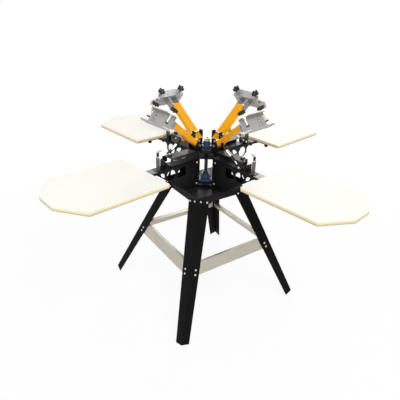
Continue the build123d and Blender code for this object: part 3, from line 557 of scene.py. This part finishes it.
# ------------------------------------------------------------------ sub-assemblies
def dress(node: str, material: bpy.types.Material) -> None:
    """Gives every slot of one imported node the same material.

    Args:
        node: the node's name.
        material: what it is made of.
    """
    mesh = frame["nodes"][node].data
    mesh.materials.clear()
    mesh.materials.append(material)
    LOG.info("dressed %s with %s", node, material.name)


@dataclass
class HeadFrame:
    """Directions and pivot of one raised print head."""

    number: int
    pivot: Vector = field(init=False)
    along: Vector = field(init=False)
    across: Vector = field(init=False)
    up: Vector = field(init=False)

    def __post_init__(self) -> None:
        """Reads the pivot and the raised angle from the head's joint."""
        joint = joint_named(f"head_lower_{self.number}")
        self.pivot = Vector(joint["pos_m"])
        self.across = Vector(joint["axis"])
        lift = radians(joint["range_deg"][1])
        out = Vector((self.pivot.x, self.pivot.y, 0)).normalized()
        self.along = out * cos(lift) + Vector((0, 0, sin(lift)))
        self.up = -out * sin(lift) + Vector((0, 0, cos(lift)))

    def point(self, s: float, t: float, n: float) -> Vector:
        """Point at millimetre offsets along, across and above the arm."""
        return self.pivot + (self.along * s + self.across * t + self.up * n) * MM


def joint_named(name: str) -> dict[str, Any]:
    """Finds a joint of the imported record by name."""
    for joint in frame["record"]["behaviour"]["joints"]:
        if joint["name"] == name:
            return joint
    raise KeyError(name)


@dataclass
class Stand:
    """Table plate, splayed legs, braces, shaft and their bolts."""

    legs: int = 4

    def build(self) -> None:
        """Dresses the standing parts."""
        black, leg = BLACK_POWDER.build(), LEG_POWDER.build()
        dress("table_plate", black)
        for number in range(1, self.legs + 1):
            dress(f"leg_{number}", leg)
        dress("braces", BRACE_STEEL.build())
        zinc = ZINC.build()
        dress("stand_bolts", zinc)
        dress("shaft_nut", zinc)
        dress("shaft", SHAFT_STEEL.build())


@dataclass
class LowerCarousel:
    """Hub, pallet arms with their registration posts, and the pallets, in millimetres."""

    bearing_radius: float = 60.0
    gate_out: float = 333.0
    bare_from: float = 368.0
    arm_side_top: float = 896.0
    knob_top: float = 890.0
    post_washer: tuple[float, float] = (962.5, 969.0)
    post_sleeve: tuple[float, float] = (969.0, 991.5)

    def build(self) -> None:
        """Dresses the lower carousel."""
        black = BLACK_POWDER.build()
        for node in ("carousel_base", "carousel_cap"):
            dress(node, black)
        dress("hub_bolts", self.bolt_finish())
        dress("lower_bearing", BEARING_BLUE.build())
        dress("arm_posts", self.beyond("arm_posts", self.gate_out, DULL_STEEL))
        dress("post_rollers", self.roller_finish())
        arm = self.beyond("pallet_arms", self.bare_from, BARE_STEEL)
        board = PalletBoard("pallet_board").build()
        clamp = self.clamp_finish()
        for number in range(1, STATIONS + 1):
            dress(f"pallet_arm_{number}", arm)
            dress(f"pallet_{number}", board)
            dress(f"pallet_clamp_{number}", clamp)

    def beyond(self, name: str, radius: float, coat: Coat) -> bpy.types.Material:
        """Black powder that gives way to another coat on faces above the arm sides.

        Args:
            name: the material's name.
            radius: distance from the shaft where the other coat starts.
            coat: the other coat.

        Returns:
            The material.
        """
        shader = replace(BLACK_POWDER, name=name).lay()
        outside = shader.off_axis().step(radius - 0.5, radius + 0.5)
        high = shader.along().step(self.arm_side_top, self.arm_side_top + 0.5)
        shader.overlay(outside * high, coat)
        return shader.material

    def bolt_finish(self) -> bpy.types.Material:
        """Zinc web bolts, with oxide-black ones on the bearing's flange."""
        shader = replace(ZINC, name="hub_zinc").lay()
        outside = shader.off_axis().step(self.bearing_radius, self.bearing_radius + 2)
        shader.overlay(1 - outside, OXIDE)
        return shader.material

    def roller_finish(self) -> bpy.types.Material:
        """White washer, black sleeve and bright nose on each post."""
        bands = (Band(*self.post_washer, WHITE_NYLON), Band(*self.post_sleeve, BLACK_PLASTIC))
        return Banded("post_stack", SHAFT_FOOT, SHAFT_AXIS, BRIGHT_STEEL, bands).build()

    def clamp_finish(self) -> bpy.types.Material:
        """Black powdered bars with plastic knobs hanging from bright studs."""
        shader = replace(BLACK_POWDER, name="pallet_clamps").lay()
        above = shader.along().step(self.knob_top - 0.2, self.knob_top + 0.2)
        shader.overlay(1 - above, BLACK_PLASTIC)
        return shader.material


@dataclass
class UpperCarousel:
    """Turret disc, its bearing, the outriggers and the arm clevises."""

    def build(self) -> None:
        """Dresses the upper carousel."""
        black = BLACK_POWDER.build()
        for node in ("turret_disc", "clevises"):
            dress(node, black)
        dress("outriggers", OUTRIGGER_POWDER_WITH_SHEEN.build())
        dress("upper_bearing", BEARING_BLUE.build())
        dress("carousel_bolts", ZINC.build())


@dataclass
class PrintHead:
    """One lifting arm with its fork, screen clamp, clamp screws and gas strut.

    Lengths are in millimetres: along and across the arm for the screws' place, along the
    screw for its pad, nut and knob, and along the strut from the end of its upper eye.
    """

    number: int
    screw_along: float = 313.0
    screw_across: float = 72.0
    pad: tuple[float, float] = (-35.0, -29.0)
    nut: tuple[float, float] = (4.5, 12.45)
    nut_radius: float = 14.0
    knob: tuple[float, float] = (28.9, 80.0)
    strut_label: tuple[float, float] = (52.0, 92.0)
    strut_eye: tuple[float, float] = (146.0, 200.0)
    alloy: tuple[Colour, Colour] = ((0.41, 0.40, 0.385), (0.48, 0.47, 0.45))
    alloy_stain: Colour = (0.33, 0.32, 0.30)
    alloy_rough: float = 0.46
    alloy_metal: float = 0.8
    line_depth: float = 0.0001

    def build(self) -> None:
        """Dresses the head."""
        head = HeadFrame(self.number)
        dress(f"print_arm_{self.number}", ORANGE_POWDER.build())
        dress(f"fork_{self.number}", FORK_STEEL.build())
        dress(f"screen_clamp_{self.number}", self.clamp_finish(head))
        for mark, side in SCREW_SIDES.items():
            dress(f"clamp_screw_{self.number}{mark}",
                  self.screw_finish(f"clamp_screw_{self.number}{mark}", head, side))
        self.dress_strut()

    def screw_place(self, head: HeadFrame, side: int) -> Vector:
        """Where the screw on one side crosses the arm's middle plane."""
        return head.point(self.screw_along, side * self.screw_across, 0)

    def clamp_finish(self, head: HeadFrame) -> bpy.types.Material:
        """Brushed alloy with the two brass nuts under the top flange."""
        shader = Shader(f"clamp_alloy_{self.number}")
        line, cloud = shader.noise(ALLOY_LINES), shader.noise(ALLOY_CLOUD)
        alloy = shader.mix(line.step(0.3, 0.7), *self.alloy)
        alloy = shader.mix(cloud.step(0.5, 0.85) * 0.2, alloy, self.alloy_stain)
        shader.set(Base_Color=alloy, Metallic=self.alloy_metal,
                   Roughness=self.alloy_rough + (line - 0.5) * 0.10 + cloud * 0.06)
        for side in SCREW_SIDES.values():
            foot = self.screw_place(head, side)
            outside = shader.off_axis(foot, head.up).step(self.nut_radius, self.nut_radius + 1)
            height = shader.along(foot, head.up).band(*self.nut, 0.1)
            shader.overlay((1 - outside) * height, BRASS)
        shader.relief(line, 0.04, self.line_depth)
        return shader.material

    def screw_finish(self, name: str, head: HeadFrame, side: int) -> bpy.types.Material:
        """Black star knob, bright threaded rod and dark pad on one axis."""
        bands = (Band(*self.pad, RUBBER), Band(*self.knob, BLACK_PLASTIC))
        return Banded(name, tuple(self.screw_place(head, side)), tuple(head.up), BRIGHT_STEEL,
                      bands, thread_mm=(self.pad[1], self.knob[0])).build()

    def dress_strut(self) -> None:
        """Black cylinder with a plain bright label band, and its chromed rod."""
        low, high = (Vector(corner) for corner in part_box(f"strut_body_{self.number}"))
        axis = Vector(joint_named(f"strut_stroke_{self.number}")["axis"])
        half = max(high - low) / 2
        start = (low + high) / 2 - axis * (half / max(abs(axis.x), abs(axis.y)))
        for node, name, coat, band in (
                ("strut_body", "strut_black", BLACK_GLOSS, Band(*self.strut_label, BRIGHT_STEEL)),
                ("strut_rod", "strut_rod", BRIGHT_STEEL, Band(*self.strut_eye, BLACK_GLOSS))):
            dress(f"{node}_{self.number}", Banded(f"{name}_{self.number}", tuple(start),
                                                  tuple(axis), coat, (band,)).build())


# -------------------------------------------------------------------------- studio
@dataclass(frozen=True)
class Softbox:
    """One area light aimed at a point."""

    name: str
    at: tuple[float, float, float]
    aim: tuple[float, float, float]
    size: float
    power: float

    def build(self) -> None:
        """Hangs the light."""
        lamp = bpy.data.lights.new(self.name, "AREA")
        lamp.energy, lamp.size = self.power, self.size
        holder = bpy.data.objects.new(self.name, lamp)
        holder.location = self.at
        aim = Vector(self.aim) - Vector(self.at)
        holder.rotation_euler = aim.to_track_quat("-Z", "Y").to_euler()
        bpy.context.collection.objects.link(holder)


@dataclass
class Studio:
    """White room, soft lights and the camera, in metres and degrees."""

    azimuth: float = 45.257
    elevation: float = 27.878
    roll: float = 2.224
    distance: float = 2.3741
    target_z: float = 0.6024
    lens: float = 35.417
    sensor: float = 36.0
    shift: tuple[float, float] = (-0.0116, 0.0004)
    ambient: float = 0.45
    floor_half: float = 8.0
    floor_colour: Colour = (0.9, 0.9, 0.9)
    floor_rough: float = 0.8
    glow: float = 0.9
    fade_mm: tuple[float, float] = (1200.0, 2600.0)
    lights: tuple[Softbox, ...] = (
        Softbox("key", (4.6, -1.6, 5.5), (0, 0, 0.7), size=3.9, power=265.0),
        Softbox("side", (-0.6, -3.2, 2.2), (0, 0, 0.7), size=1.8, power=24.0),
        Softbox("back", (-1.8, 2.6, 3.0), (0, 0, 0.8), size=2.0, power=54.0),
    )

    def build(self) -> None:
        """Sets the whole studio."""
        bpy.context.scene.view_settings.view_transform = "Standard"
        self.build_world()
        self.build_floor()
        for light in self.lights:
            light.build()
        self.build_camera()

    def build_world(self) -> None:
        """White to the camera and in reflections, softer as a light."""
        world = bpy.data.worlds.new("room")
        bpy.context.scene.world = world
        nodes = Nodes(world)
        plain, white = (nodes.node("ShaderNodeBackground", {}, {"Color": WHITE, "Strength": level})
                        for level in (self.ambient, 1.0))
        mixed = nodes.node("ShaderNodeMixShader", {}, {0: nodes.looked_at(), 1: plain.outputs[0],
                                                       2: white.outputs[0]})
        nodes.node("ShaderNodeOutputWorld", {}, {"Surface": mixed.outputs[0]})

    def build_floor(self) -> None:
        """Lays a white floor that keeps a faint shadow."""
        half = self.floor_half
        mesh = bpy.data.meshes.new("floor")
        corners = [(-half, -half, 0), (half, -half, 0), (half, half, 0), (-half, half, 0)]
        mesh.from_pydata(corners, [], [(0, 1, 2, 3)])
        floor = bpy.data.objects.new("floor", mesh)
        bpy.context.collection.objects.link(floor)
        shader = Shader("floor_white")
        shader.set(Base_Color=self.floor_colour, Roughness=self.floor_rough)
        far = shader.off_axis().step(*self.fade_mm)
        bright = shader.looked_at() * (self.glow + far * (1 - self.glow))
        glow = shader.node("ShaderNodeEmission", {}, {"Color": WHITE, "Strength": 1.0})
        mixed = shader.node("ShaderNodeMixShader", {}, {
            0: bright, 1: shader.surface.outputs[0], 2: glow.outputs[0]})
        shader.feed(shader.out.inputs["Surface"], mixed.outputs[0])
        mesh.materials.append(shader.material)

    def build_camera(self) -> None:
        """Stands the camera where the front legs face it."""
        az, el, roll = (radians(a) for a in (self.azimuth, self.elevation, self.roll))
        back = Vector((sin(az) * cos(el), -cos(az) * cos(el), sin(el)))
        right = (-back).cross(Vector(SHAFT_AXIS)).normalized()
        up = right.cross(-back)
        turned_right = right * cos(roll) + up * sin(roll)
        turned_up = -right * sin(roll) + up * cos(roll)
        lens = bpy.data.cameras.new("camera")
        lens.lens, lens.sensor_width = self.lens, self.sensor
        lens.shift_x, lens.shift_y = self.shift
        holder = bpy.data.objects.new("camera", lens)
        place = Vector((0, 0, self.target_z)) + back * self.distance
        turn = Matrix((turned_right, turned_up, back)).transposed().to_4x4()
        holder.matrix_world = Matrix.Translation(place) @ turn
        bpy.context.collection.objects.link(holder)
        bpy.context.scene.camera = holder


def main() -> None:
    """Builds the press and its studio in order."""
    logging.basicConfig(level=logging.INFO, format="%(name)s: %(message)s")
    heads = [PrintHead(number) for number in range(1, STATIONS + 1)]
    for part in (Stand(), LowerCarousel(), UpperCarousel(), *heads, Studio()):
        part.build()
        LOG.info("built %s", type(part).__name__)


if __name__ == "__main__":
    main()
